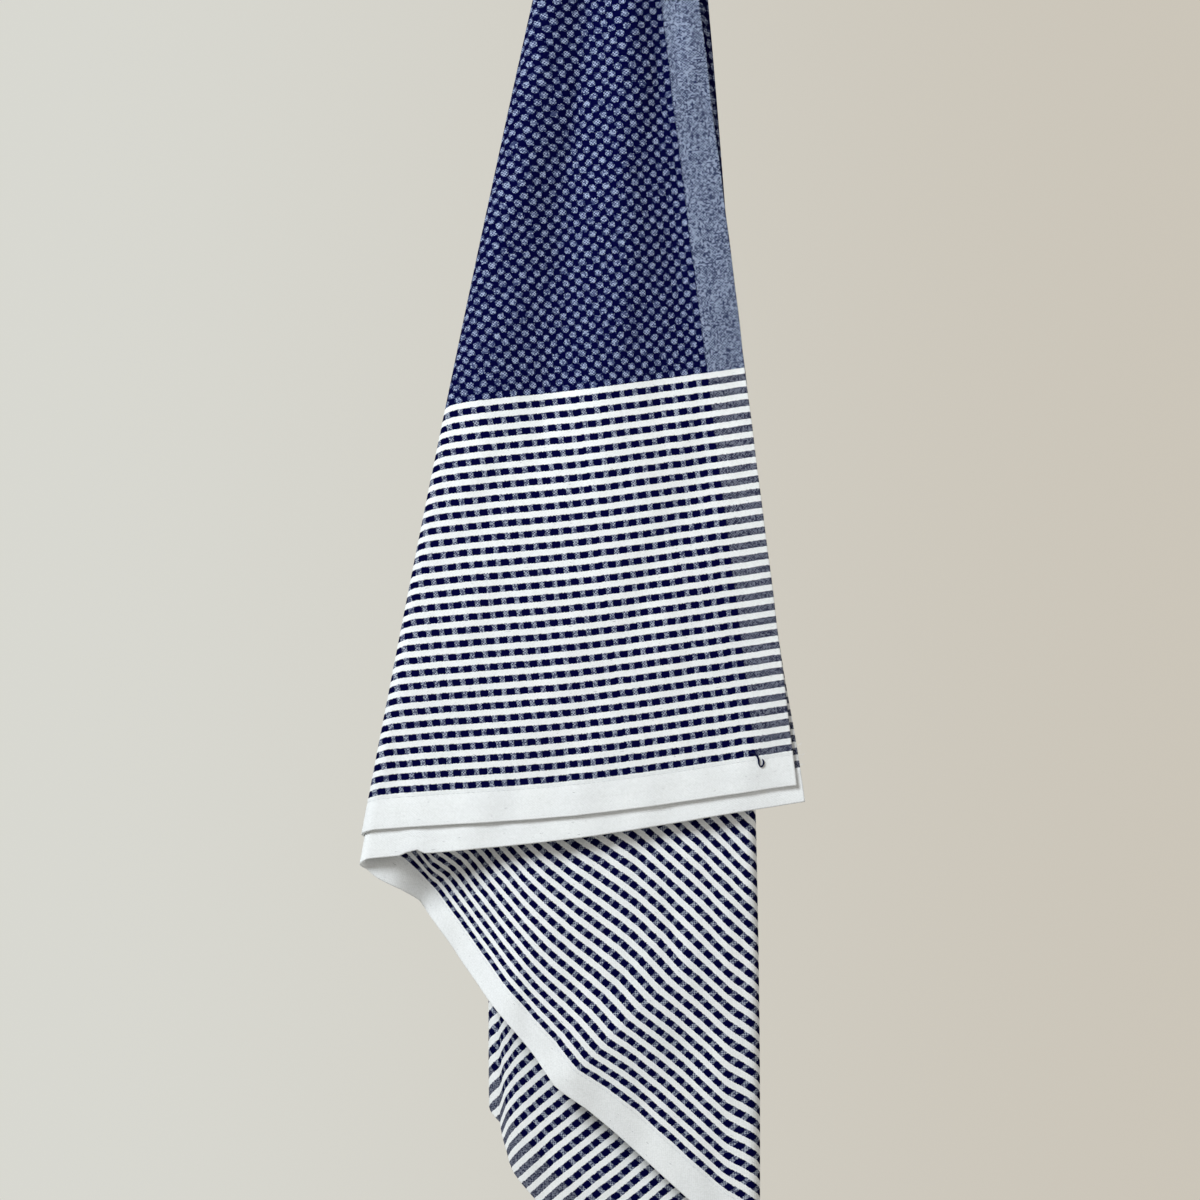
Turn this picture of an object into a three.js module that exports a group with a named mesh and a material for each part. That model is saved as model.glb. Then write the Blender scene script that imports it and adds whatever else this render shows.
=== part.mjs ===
// A woven bath towel that hangs from a point at the middle of one long edge.
// Millimetres, +Z up, the front faces -Y, and the origin is the point that it hangs from.
//
// The towel is folded in two over that point, hem on hem, so it hangs as a double cloth: ply A, which
// starts at the front, and ply B behind it. The double cloth falls in a fan: its fold lines run down
// from the hanging point, and between two of them it lies in one flat leaf. Every point of the double
// cloth has a place s, measured along its free edge (along the hem, then up the far selvedge), and a
// share t of the way down from the hanging point to that edge.

import * as THREE from 'three';
import { mergeGeometries, mergeVertices } from 'three/addons/utils/BufferGeometryUtils.js';

// The cloth as it was woven and hemmed
const CLOTH_WIDTH = 750;
const HALF_LENGTH = 750;
const CLOTH_THICKNESS = 1.2;
const HEM_DEPTH = 23;
const HEM_STEP = 1.6;
const HEM_THICKNESS = 2.2;

// Each ply's distance from the middle of the double cloth
const PLY_OFFSET = 1.5;

// How far the outer pleats droop below the hanging point
const CROWN_DROOP = 9;
const CROWN_REACH = 26;

/** A table's rows by the names of its columns. */
const table = (names, rows) => rows.map((row) => Object.fromEntries(names.map((name, i) => [name, row[i]])));

// The fan. Each row is a line from the hanging point to the free edge: s there, the place of its foot
// (x, z and depth y), its place at the hanging point, its sideways bow half way down, and for a fold
// line the fold's radius at the foot and at the top (0 is an edge or a bend inside a leaf).
const FAN = table(['s', 'x', 'z', 'depth', 'topX', 'topDepth', 'bow', 'radius', 'topRadius'], [
  [0, 104, -738, -24, 13, -24, 0, 0, 0],
  [145, -40, -761.5, -25.5, -4, -25, -2, 0, 0],
  [290, -184.5, -779.5, -18.5, -22, -19, -5, 5.5, 5],
  [675, 77, -1039.5, -7, 22, -9.8, 16, 6, 4.2],
  [750, 21, -1094, 1, 10, -5.4, 0, 0, 0],
  [890, -79, -990, 6, -4, -5.5, -14, 0, 0],
  [949, -98, -941, 14.5, -14, -1.6, -24, 5.5, 4],
  [1100, 9, -832, 28.5, 11, 6.2, 9, 5.5, 3.8],
  [1210, -80, -767, 38.5, -11, 13.7, -8, 4.5, 3.7],
  [1340, 38, -712, 47.5, 9, 21.2, 8, 4.5, 3.8],
  [1500, -115, -676, 53, -9, 25, -7, 0, 0],
]);
const [LEFT_FOLD, RIGHT_FOLD] = FAN.filter((row) => row.radius > 0);
const LAST = FAN.at(-1).s;

// How the flat cloth lies along the lines of the fan: the width of cloth that is gathered up to a line
// at the hanging point, and the rates at which the line crosses the cloth's width and its length near
// the free edge, each for the whole of the line
const LAY = table(['s', 'gathered', 'across', 'down'], [
  [0, 0, 0, 745],
  [145, 13, 132, 750],
  [290, 26, 264, 760],
  [340, 29, 400, 800],
  [380, 31, 470, 810],
  [430, 34, 545, 815],
  [500, 37, 640, 815],
  [600, 42, 725, 811],
  [675, 46, 811, 828],
  [750, 50, 801, 823],
  [882, 54, 775, 715],
  [954, 58, 750, 629],
  [1100, 66, 684, 400],
  [1210, 72, 678, 290],
  [1340, 77, 673, 160],
  [1500, 81, 669, 0],
]);
const LAY_POWER = 3;

// The whole bundle curves back at its sides, more at the top than at the foot, by this much at this
// distance from its middle
const BUNDLE_CURVE = { top: 9, topReach: 60, foot: 5, footReach: 180 };

// Ply A ends a little higher than ply B round the front leaf, by this share of each line, and it draws
// up below a share from of the way down
const PLY_A_SHORT = table(['s', 'share'], [
  [0, 0.015],
  [150, 0.02],
  [290, 0.025],
  [305, 0.022],
  [345, 0],
]);
const PLY_A_SHORT_FROM = 0.72;

// Ply B's free corner flares past ply A's: how far, from which share of the way down, over what width
const FLARE = { reach: 4, from: 0.83, width: 60 };

// Soft upright folds in the front leaf: place s, half width, how far back (+) or forward (-) it lies
const SOFT_FOLDS = table(['s', 'width', 'back'], [
  [252, 26, -4],
  [190, 26, 6],
  [124, 28, -5],
  [60, 26, 2],
]);
const SOFT_FOLDS_DOWN = { full: 0.12, until: 0.4, end: 0.84 };
const SOFT_FOLDS_ALONG = { until: 262, end: 280 };

// Creases that run with the warp over the lower front leaf: u is their distance from the near selvedge,
// slip is how far the cloth slides down along the warp there, and back how far back (+) it lies
const WARP_CREASES = table(['u', 'slip', 'back'], [
  [298, 0, 0],
  [338, -8, 8],
  [358, -5, 4.5],
  [384, -1, 2.5],
  [422, 5, 0],
  [469, 9.5, -3],
  [492, 14, -6],
  [516, 10.5, -3],
  [540, 8.3, -0.8],
  [573, 7, 0],
  [610, 5.5, 0],
  [668, 0, 0],
]);
const WARP_SLOPE = 0.788;
const CREASES_START = 560;
const CREASES_FULL = 740;
const CREASE_MARGIN = 34;

// The lower front leaf tips back towards its hem on the left, and its rows close up there
const TUCK = { from: 318, full: 348, until: 380, end: 450, back: 15, start: 0.84, stop: 1.02 };
const SQUEEZE = { from: 318, full: 350, until: 430, end: 560, share: 0.3, power: 6 };

// Rows of faces down each ply (share of the way down) and places of the columns inside each leaf
const HEM_TOP = 1 - HEM_DEPTH / HALF_LENGTH;
const DOWN = [0, 0.05, 0.12, 0.2, 0.29, 0.38, 0.47, 0.56, 0.65, 0.73, 0.8, 0.86, 0.91, 0.95,
  HEM_TOP - HEM_STEP / HALF_LENGTH, HEM_TOP, 1];
const LEAF_COLUMNS = [
  [0, 40, 72, 100, 138, 176, 213, 250],
  [338, 358, 384, 422, 469, 492, 516, 540, 573, 610, 642],
  [705, 750, 794, 838, 882, 912],
  [1003, 1051],
  [1155],
  [1275],
  [1394, 1447, 1500],
];
const TURN_STEPS = 4;
const EDGE_STEPS = 2;

// The steps along s and t over which the surface's directions are measured, and how close two points
// of the sheet's pieces are where they are one
const ALONG_STEP = 0.5;
const DOWN_STEP = 0.002;
const MERGE_WITHIN = 1e-3;

const { lerp, smoothstep, degToRad } = THREE.MathUtils;

/** A smooth curve through knots of (s, value), with a given slope at each end, or the chord's if none is. */
function smoothCurve(knots, s, startSlope, endSlope) {
  const last = knots.length - 1;
  const chord = (i) => (knots[i + 1].value - knots[i].value) / (knots[i + 1].s - knots[i].s);
  const slope = (i) => {
    if (i === 0) return startSlope ?? chord(0);
    if (i === last) return endSlope ?? chord(last - 1);
    return (knots[i + 1].value - knots[i - 1].value) / (knots[i + 1].s - knots[i - 1].s);
  };
  let i = 0;
  while (i < last - 1 && s > knots[i + 1].s) i += 1;
  const span = knots[i + 1].s - knots[i].s;
  const f = (s - knots[i].s) / span;
  const rise = f * f * (3 - 2 * f);
  const startPart = f * (1 - f) * (1 - f) * span * slope(i);
  const endPart = f * f * (1 - f) * span * slope(i + 1);
  return lerp(knots[i].value, knots[i + 1].value, rise) + startPart - endPart;
}

/** The value of a table's column at a place, on a smooth curve through its rows and level past its ends. */
function readTable(rows, key, column, place) {
  const within = THREE.MathUtils.clamp(place, rows[0][key], rows.at(-1)[key]);
  return smoothCurve(rows.map((row) => ({ s: row[key], value: row[column] })), within);
}

/** Whether a line of the fan is where a leaf of cloth ends: a fold, an edge or the cloth's free corner. */
const endsLeaf = (row) => row.radius > 0 || [0, CLOTH_WIDTH, LAST].includes(row.s);

/** How steeply the free edge climbs along s where it goes round a fold. */
function foldRise(row) {
  const i = FAN.indexOf(row);
  const chord = (from, to) => (to.z - from.z) / (to.s - from.s);
  return (chord(FAN[i - 1], row) + chord(row, FAN[i + 1])) / 2;
}

/** Where a line of the fan is at a share t of the way down, with its fold's radius and the climb there. */
function lineAt(row, t) {
  const droop = CROWN_DROOP * (row.topX ** 2 + row.topDepth ** 2) / CROWN_REACH ** 2;
  return {
    x: lerp(row.topX, row.x, t) + 4 * row.bow * t * (1 - t),
    y: lerp(row.topDepth, row.depth, t),
    z: lerp(-droop, row.z, t),
    radius: lerp(row.topRadius, row.radius, t),
    side: Math.sign(row.x),
    rise: row.radius > 0 ? foldRise(row) * t : 0,
  };
}

/** Half the width of cloth that a fold takes up, measured along the free edge, which may cross it askew. */
function turnReach(row) {
  return row.radius > 0 ? row.radius * Math.PI / 2 / Math.sqrt(1 - foldRise(row) ** 2) : 0;
}

/** The fan's middle surface before its creases: round folds joined by leaves. */
function fanPoint(s, t) {
  const fold = FAN.find((row) => row.radius > 0 && Math.abs(s - row.s) <= turnReach(row));
  if (fold) {
    const { x, y, z, radius, side, rise } = lineAt(fold, t);
    const beyond = s - fold.s;
    const angle = beyond / turnReach(fold) * Math.PI / 2;
    const inwards = radius * (1 - Math.cos(angle));
    return new THREE.Vector3(x - side * inwards, y + radius * Math.sin(angle), z + rise * beyond);
  }
  const before = FAN.findLastIndex((row) => row.s <= s && row.s < LAST && endsLeaf(row));
  const after = FAN.findIndex((row, i) => i > before && endsLeaf(row));
  const knots = { x: [], y: [], z: [] };
  for (let i = before; i <= after; i += 1) {
    const { x, y, z, radius, side, rise } = lineAt(FAN[i], t);
    const end = i === before ? 1 : -1;
    const reach = end * turnReach(FAN[i]);
    knots.x.push({ s: FAN[i].s + reach, value: x - side * radius });
    knots.y.push({ s: FAN[i].s + reach, value: y + end * radius });
    knots.z.push({ s: FAN[i].s + reach, value: z + rise * reach });
  }
  return new THREE.Vector3(smoothCurve(knots.x, s), smoothCurve(knots.y, s, 0, 0), smoothCurve(knots.z, s));
}

/** The place in the flat cloth: u from the near selvedge, v from the line over the hanging point. */
function clothPlace(s, t) {
  const laid = (foot, rate, top) => foot - rate * (1 - t) + (top - foot + rate) * (1 - t) ** LAY_POWER;
  const footU = Math.min(s, CLOTH_WIDTH);
  const footV = HALF_LENGTH - Math.max(0, s - CLOTH_WIDTH);
  return {
    u: laid(footU, readTable(LAY, 's', 'across', s), readTable(LAY, 's', 'gathered', s)),
    v: laid(footV, readTable(LAY, 's', 'down', s), 0),
  };
}

/** How far the soft upright folds move the front leaf back. */
function softFolds(s, t) {
  const { full, until, end } = SOFT_FOLDS_DOWN;
  const down = smoothstep(t, 0, full) * (1 - smoothstep(t, until, end));
  const along = 1 - smoothstep(s, SOFT_FOLDS_ALONG.until, SOFT_FOLDS_ALONG.end);
  const bump = (fold) => fold.back * Math.exp(-(((s - fold.s) / fold.width) ** 2));
  return down * along * SOFT_FOLDS.reduce((sum, fold) => sum + bump(fold), 0);
}

/** How far the creases along the warp move the lower front leaf. */
function warpCreases(s, t) {
  if (s <= LEFT_FOLD.s || s >= RIGHT_FOLD.s) return new THREE.Vector3();
  const { u, v } = clothPlace(s, t);
  const inside = smoothstep(s, LEFT_FOLD.s + turnReach(LEFT_FOLD), LEFT_FOLD.s + CREASE_MARGIN)
    * (1 - smoothstep(s, RIGHT_FOLD.s - CREASE_MARGIN, RIGHT_FOLD.s - turnReach(RIGHT_FOLD)));
  const strength = inside * smoothstep(v, CREASES_START, CREASES_FULL);
  const slip = strength * readTable(WARP_CREASES, 'u', 'slip', u);
  const back = strength * readTable(WARP_CREASES, 'u', 'back', u);
  return new THREE.Vector3(-slip * Math.sin(WARP_SLOPE), back, -slip * Math.cos(WARP_SLOPE));
}

/** A share that rises from 0 to 1 and falls back to 0 along s. */
const bandAt = (s, { from, full, until, end }) => smoothstep(s, from, full) * (1 - smoothstep(s, until, end));

/** How far the bundle's sides curve back. */
function bundleCurve(x, t) {
  const reach = lerp(BUNDLE_CURVE.topReach, BUNDLE_CURVE.footReach, t);
  return lerp(BUNDLE_CURVE.top, BUNDLE_CURVE.foot, t) * (x / reach) ** 2;
}

/** The middle surface of the double cloth as it hangs. */
function middlePoint(s, t) {
  const squeezed = SQUEEZE.share * bandAt(s, SQUEEZE) * t ** SQUEEZE.power * (1 - t);
  const point = fanPoint(s, t + squeezed).add(warpCreases(s, t));
  point.y += softFolds(s, t) + TUCK.back * bandAt(s, TUCK) * smoothstep(t, TUCK.start, TUCK.stop);
  point.y += bundleCurve(point.x, t);
  return point;
}

/** The unit directions at a point of the middle surface: across it to ply A, along s, and up its line. */
function directions(s, t) {
  const [s0, s1] = [Math.max(s - ALONG_STEP, 0), Math.min(s + ALONG_STEP, LAST)];
  const [t0, t1] = [Math.max(t - DOWN_STEP, 0), Math.min(t + DOWN_STEP, 1)];
  const along = middlePoint(s1, t).sub(middlePoint(s0, t)).normalize();
  const down = middlePoint(s, t1).sub(middlePoint(s, t0)).normalize();
  const across = new THREE.Vector3().crossVectors(along, down).normalize();
  const up = new THREE.Vector3().crossVectors(along, across).normalize();
  const onward = new THREE.Vector3().crossVectors(down, across).normalize();
  if (up.dot(down) > 0) up.negate();
  if (onward.dot(along) < 0) onward.negate();
  return { across, onward, up };
}

/** Half the cloth's thickness at a place, which is greater in the hem. */
function halfThickness(s, t) {
  const hem = smoothstep(t, HEM_TOP - HEM_STEP / HALF_LENGTH, HEM_TOP)
    * (1 - smoothstep(s, CLOTH_WIDTH, CLOTH_WIDTH + HEM_DEPTH));
  return lerp(CLOTH_THICKNESS, HEM_THICKNESS, hem) / 2;
}

/**
 * A point of one face of the cloth. side is 1 on ply A and -1 on ply B; face is 1 on the outer face and
 * -1 on the inner one; over and beside are the angles past the top and past the middle line, where the
 * two plies turn into each other.
 */
function clothPoint({ s, beside }, { side, t, over }, face) {
  const reach = PLY_OFFSET + face * halfThickness(s, t);
  const shorter = side > 0 ? readTable(PLY_A_SHORT, 's', 'share', s) * smoothstep(t, PLY_A_SHORT_FROM, 1) : 0;
  const down = t * (1 - shorter);
  const { across, onward, up } = directions(s, down);
  const out = across.multiplyScalar(side * Math.cos(over) * Math.cos(beside))
    .addScaledVector(onward, Math.sin(beside))
    .addScaledVector(up, Math.sin(over))
    .normalize();
  const point = middlePoint(s, down).addScaledVector(out, reach);
  if (side < 0) point.x += FLARE.reach * smoothstep(t, FLARE.from, 1) * (1 - smoothstep(s, 0, FLARE.width));
  return point;
}

/** The columns of the sheet, from the near selvedge to the middle line and round it. */
function sheetColumns() {
  const columns = [];
  const folds = FAN.filter((row) => row.radius > 0);
  LEAF_COLUMNS.forEach((places, leaf) => {
    places.forEach((s) => columns.push({ s, beside: 0 }));
    if (leaf === folds.length) return;
    for (let i = 0; i <= TURN_STEPS; i += 1) {
      const s = folds[leaf].s + turnReach(folds[leaf]) * (2 * i / TURN_STEPS - 1);
      columns.push({ s, beside: 0 });
    }
  });
  for (let i = 1; i <= EDGE_STEPS; i += 1) columns.push({ s: LAST, beside: degToRad(90 * i / EDGE_STEPS) });
  return columns;
}

/** The rows of the sheet, from ply A's hem over the top to ply B's hem. */
function sheetRows() {
  const half = (side) => DOWN.map((t) => ({ side, t, over: 0 })).reverse();
  const over = (side, i) => ({ side, t: 0, over: degToRad(90 * i / EDGE_STEPS) });
  const rows = half(1);
  for (let i = 1; i <= EDGE_STEPS; i += 1) rows.push(over(1, i));
  for (let i = EDGE_STEPS - 1; i >= 1; i -= 1) rows.push(over(-1, i));
  return rows.concat(half(-1).reverse());
}

/**
 * A plane of faces whose vertices are laid by a function of their column and row. The faces of a square
 * meet on its falling diagonal on the rows where falls says so, and point the other way if inward is set.
 */
function laidPlane(columnCount, rowCount, place, { falls = () => false, inward = false } = {}) {
  const plane = new THREE.PlaneGeometry(1, 1, columnCount - 1, rowCount - 1);
  const position = plane.getAttribute('position');
  for (let i = 0; i < position.count; i += 1) {
    const point = place(i % columnCount, Math.floor(i / columnCount));
    position.setXYZ(i, point.x, point.y, point.z);
  }
  const faces = [];
  for (let row = 0; row < rowCount - 1; row += 1) {
    for (let column = 0; column < columnCount - 1; column += 1) {
      const [a, b] = [row * columnCount + column, (row + 1) * columnCount + column];
      faces.push(...(falls(row) ? [[a, b, b + 1], [a, b + 1, a + 1]] : [[a, b, a + 1], [b, b + 1, a + 1]]));
    }
  }
  plane.setIndex(faces.flatMap((face) => (inward ? face.reverse() : face)));
  plane.deleteAttribute('normal');
  plane.deleteAttribute('uv');
  return plane;
}

/** The whole towel: its outer and inner faces and the rim that joins them round the cloth's edges. */
function towelGeometry() {
  const columns = sheetColumns();
  const rows = sheetRows();
  const [lastColumn, lastRow] = [columns.length - 1, rows.length - 1];
  const at = (column, row, face) => clothPoint(columns[column], rows[row], face);

  // The faces of both plies meet along the warp, so that the plies and their thickness stay even
  const falls = (row) => rows[row].side > 0;
  const faced = (face, turns) => laidPlane(columns.length, rows.length, (i, j) => at(i, j, face), turns);
  const outer = faced(1, { falls });
  const inner = faced(-1, { falls, inward: true });
  const rim = (count, place) => laidPlane(2, count, (across, i) => at(...place(i), across === 0 ? -1 : 1));
  const selvedge = rim(rows.length, (i) => [0, i]);
  const hemA = rim(columns.length, (i) => [lastColumn - i, 0]);
  const hemB = rim(columns.length, (i) => [i, lastRow]);

  return mergeVertices(mergeGeometries([outer, inner, selvedge, hemA, hemB]), MERGE_WITHIN);
}

const cotton = new THREE.MeshStandardMaterial({ color: 0x8d97ad, roughness: 0.92, metalness: 0 });
const towel = new THREE.Mesh(towelGeometry(), cotton);
towel.name = 'towel';
towel.geometry.computeVertexNormals();

const bathTowel = new THREE.Group();
bathTowel.add(towel);

export default bathTowel;
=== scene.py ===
"""A woven bath towel that hangs from the middle of one long edge.

The towel is one sheet of cloth. It is folded in two over the point that it hangs from, hem on hem, and
this double cloth falls in a fan: fold lines run down from the hanging point, with flat leaves between
them. A place in the double cloth is s, measured along its free edge (the hem, then the far selvedge),
and t, the share of the way down from the hanging point to that edge. The tables are in millimetres and
the meshes in metres, with +Z up, the front to -Y, and the origin at the hanging point.
"""

import logging
import math
from collections.abc import Callable, Iterable
from dataclasses import dataclass, field
from enum import Enum

import bmesh
import bpy
import numpy as np
from bpy.types import Material, Object
from mathutils import Matrix, Vector


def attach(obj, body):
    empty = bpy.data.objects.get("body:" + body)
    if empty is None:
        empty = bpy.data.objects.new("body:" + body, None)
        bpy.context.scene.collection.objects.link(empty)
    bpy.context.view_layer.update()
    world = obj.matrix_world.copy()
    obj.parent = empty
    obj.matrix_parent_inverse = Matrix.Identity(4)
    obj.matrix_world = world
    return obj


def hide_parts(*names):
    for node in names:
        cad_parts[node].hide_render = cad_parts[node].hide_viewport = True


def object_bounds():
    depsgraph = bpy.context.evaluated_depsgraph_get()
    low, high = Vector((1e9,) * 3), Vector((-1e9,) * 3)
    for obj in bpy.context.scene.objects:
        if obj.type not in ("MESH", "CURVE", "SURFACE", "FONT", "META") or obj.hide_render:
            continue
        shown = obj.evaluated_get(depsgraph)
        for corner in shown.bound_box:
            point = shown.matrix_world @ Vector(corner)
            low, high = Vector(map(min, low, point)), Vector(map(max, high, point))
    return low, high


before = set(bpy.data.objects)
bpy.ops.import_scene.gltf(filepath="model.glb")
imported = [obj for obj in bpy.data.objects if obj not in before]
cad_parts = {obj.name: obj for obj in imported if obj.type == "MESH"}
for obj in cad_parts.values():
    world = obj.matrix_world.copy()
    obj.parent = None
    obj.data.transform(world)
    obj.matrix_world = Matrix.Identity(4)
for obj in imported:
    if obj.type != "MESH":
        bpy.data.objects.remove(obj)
cad_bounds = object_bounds()

logging.basicConfig(level=logging.INFO, format="%(name)s: %(message)s")
log = logging.getLogger("towel")

MM = 0.001
BODY = "root"
NODE = "towel"
UV_MAP = "cloth"

Array = np.ndarray
Pair = tuple[float, float]
Rows = tuple[tuple[float, ...], ...]
Socket = bpy.types.NodeSocket
Colour = tuple[float, float, float, float]
ColourPair = tuple[Colour, Colour]

# Cloth for each millimetre of s at the hanging point, and the most of s that half a fold takes up
GATHERED_SHARE = 0.08
WIDEST_TURN = 40.0


class Ply(Enum):
    """The two halves of the cloth: the one that starts at the front, and the one behind it."""

    FRONT = 1
    BACK = -1


def smoothstep(value: Array, start: float, end: float) -> Array:
    """Rises smoothly from 0 to 1.

    Args:
        value: where the curve is read.
        start: where it leaves 0.
        end: where it reaches 1.

    Returns:
        The curve's height at each value.
    """
    share = np.clip((value - start) / (end - start), 0.0, 1.0)
    return share * share * (3.0 - 2.0 * share)


def smooth_curve(knots: Array, heights: Array, at: Array, level_ends: bool = False) -> Array:
    """A smooth curve through knots, each place with its own heights or all with the same ones.

    Args:
        knots: the knots' places, rising, or one row of places for each knot with a value per place.
        heights: one height for each knot, or one row of heights for each knot with a value per place.
        at: where the curve is read.
        level_ends: whether it starts and ends level, rather than along its first and last chord.

    Returns:
        The curve's height at each place.
    """

    def per_place(rows: Array) -> Array:
        """A row for each knot, with a value per place."""
        rows = np.asarray(rows, dtype=float)
        return rows if rows.ndim == 2 else rows[:, None] * np.ones(len(at))

    knots, heights = per_place(knots), per_place(heights)
    gaps = np.diff(knots, axis=0)
    chords = np.diff(heights, axis=0) / gaps
    slopes = np.zeros_like(heights)
    slopes[1:-1] = (heights[2:] - heights[:-2]) / (gaps[1:] + gaps[:-1])
    if not level_ends:
        slopes[0], slopes[-1] = chords[0], chords[-1]
    index = np.sum(at >= knots[1:-1], axis=0)
    place = np.arange(len(at))
    span = gaps[index, place]
    share = (at - knots[index, place]) / span
    rise = share * share * (3.0 - 2.0 * share)
    low, high = heights[index, place], heights[index + 1, place]
    start = share * (1.0 - share) ** 2 * span * slopes[index, place]
    end = share**2 * (1.0 - share) * span * slopes[index + 1, place]
    return low + (high - low) * rise + start - end


def unit(vectors: Array) -> Array:
    """The vectors at length 1."""
    return vectors / np.linalg.norm(vectors, axis=1, keepdims=True)


def facing(vectors: Array, guide: Array) -> Array:
    """The vectors, each turned round where it points away from its guide."""
    signs = np.where(np.sum(vectors * guide, axis=1) < 0.0, -1.0, 1.0)
    return vectors * signs[:, None]


@dataclass(frozen=True)
class FanLine:
    """A line of the fan, from the hanging point to the free edge. A radius of 0 is no fold."""

    s: float
    x: float
    z: float
    depth: float
    top_x: float
    top_depth: float
    bow: float
    radius: float
    top_radius: float

    @property
    def side(self) -> float:
        """1 where the fold shows on the right, and -1 on the left."""
        return math.copysign(1.0, self.x)

    def at(self, t: Array, droop: float) -> tuple[Array, ...]:
        """The line's place and its fold's radius.

        Args:
            t: shares of the way down.
            droop: how far the line's top hangs below the hanging point.

        Returns:
            x, y, z and radius at each share.
        """
        x = self.top_x + (self.x - self.top_x) * t + 4.0 * self.bow * t * (1.0 - t)
        y = self.top_depth + (self.depth - self.top_depth) * t
        z = -droop + (self.z + droop) * t
        radius = self.top_radius + (self.radius - self.top_radius) * t
        return x, y, z, radius


@dataclass(frozen=True)
class Fan:
    """The fan's middle surface before its creases: round folds joined by leaves."""

    # s, x, z, depth, top_x, top_depth, bow, radius, top_radius
    lines: tuple[FanLine, ...] = (
        FanLine(0, 104, -738, -24, 13, -24, 0, 0, 0),
        FanLine(145, -40, -761.5, -25.5, -4, -25, -2, 0, 0),
        FanLine(290, -184.5, -779.5, -18.5, -22, -19, -5, 5.5, 5),
        FanLine(675, 77, -1039.5, -7, 22, -9.8, 16, 6, 4.2),
        FanLine(750, 21, -1094, 1, 10, -5.4, 0, 0, 0),
        FanLine(890, -79, -990, 6, -4, -5.5, -14, 0, 0),
        FanLine(949, -98, -941, 14.5, -14, -1.6, -24, 5.5, 4),
        FanLine(1100, 9, -832, 28.5, 11, 6.2, 9, 5.5, 3.8),
        FanLine(1210, -80, -767, 38.5, -11, 13.7, -8, 4.5, 3.7),
        FanLine(1340, 38, -712, 47.5, 9, 21.2, 8, 4.5, 3.8),
        FanLine(1500, -115, -676, 53, -9, 25, -7, 0, 0),
    )
    corner: float = 750.0
    crown_droop: float = 9.0
    crown_reach: float = 26.0

    @property
    def folds(self) -> list[FanLine]:
        """The lines where the cloth turns back."""
        return [line for line in self.lines if line.radius > 0]

    @property
    def last(self) -> float:
        """The place of the last line, which is the cloth's middle line."""
        return self.lines[-1].s

    def droop(self, line: FanLine) -> float:
        """How far a line's top hangs below the hanging point."""
        return self.crown_droop * (line.top_x**2 + line.top_depth**2) / self.crown_reach**2

    def ends_leaf(self, line: FanLine) -> bool:
        """Whether a leaf of cloth ends at the line: a fold, an edge or the cloth's free corner."""
        return line.radius > 0 or line.s in (0, self.corner, self.last)

    def rise(self, line: FanLine) -> float:
        """How steeply the free edge climbs along s where it goes round a fold, and 0 at any other line."""
        if line.radius == 0:
            return 0.0
        i = self.lines.index(line)
        before, after = self.lines[i - 1], self.lines[i + 1]
        return ((line.z - before.z) / (line.s - before.s) + (after.z - line.z) / (after.s - line.s)) / 2

    def turn(self, line: FanLine, t: Array) -> Array:
        """Half the stretch of the free edge that a fold takes up, so that its arc is as long as its cloth."""
        radius = line.top_radius + (line.radius - line.top_radius) * t
        askew = math.sqrt(1.0 - self.rise(line) ** 2)
        return np.minimum(radius * math.pi / 2 / askew / (t + GATHERED_SHARE * (1.0 - t)), WIDEST_TURN)

    def point(self, s: Array, t: Array) -> Array:
        """The surface's points.

        Args:
            s: places along the free edge.
            t: shares of the way down.

        Returns:
            One point a row, in millimetres.
        """
        points = np.zeros((len(s), 3))
        ends = [i for i, line in enumerate(self.lines) if self.ends_leaf(line)]
        for first, last in zip(ends, ends[1:]):
            self._lay_leaf(points, s, t, self.lines[first : last + 1])
        for fold in self.folds:
            here = np.abs(s - fold.s) <= self.turn(fold, t)
            x, y, z, radius = fold.at(t[here], self.droop(fold))
            beyond = s[here] - fold.s
            angle = beyond / self.turn(fold, t[here]) * math.pi / 2
            bend = x - fold.side * radius * (1.0 - np.cos(angle))
            climb = self.rise(fold) * t[here] * beyond
            points[here] = np.stack([bend, y + radius * np.sin(angle), z + climb], axis=1)
        return points

    def _lay_leaf(self, points: Array, s: Array, t: Array, lines: tuple[FanLine, ...]) -> None:
        """Lays the points of one leaf.

        Args:
            points: the surface's points, filled in where they are on this leaf.
            s: their places along the free edge.
            t: their shares of the way down.
            lines: the leaf's lines, from fold to fold.
        """
        ends = [1 if line is lines[0] else -1 for line in lines]
        reaches = np.array([end * self.turn(line, t) for line, end in zip(lines, ends)])
        knots = reaches + np.array([[line.s] for line in lines])
        here = (s >= knots[0]) & (s <= knots[-1])
        rows: list[list[Array]] = [[], [], []]
        for line, end, reach in zip(lines, ends, reaches):
            x, y, z, radius = line.at(t[here], self.droop(line))
            rows[0].append(x - line.side * radius)
            rows[1].append(y + radius * end)
            rows[2].append(z + self.rise(line) * t[here] * reach[here])
        for axis, heights in enumerate(rows):
            curve = smooth_curve(knots[:, here], np.array(heights), s[here], level_ends=axis == 1)
            points[here, axis] = curve


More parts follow.
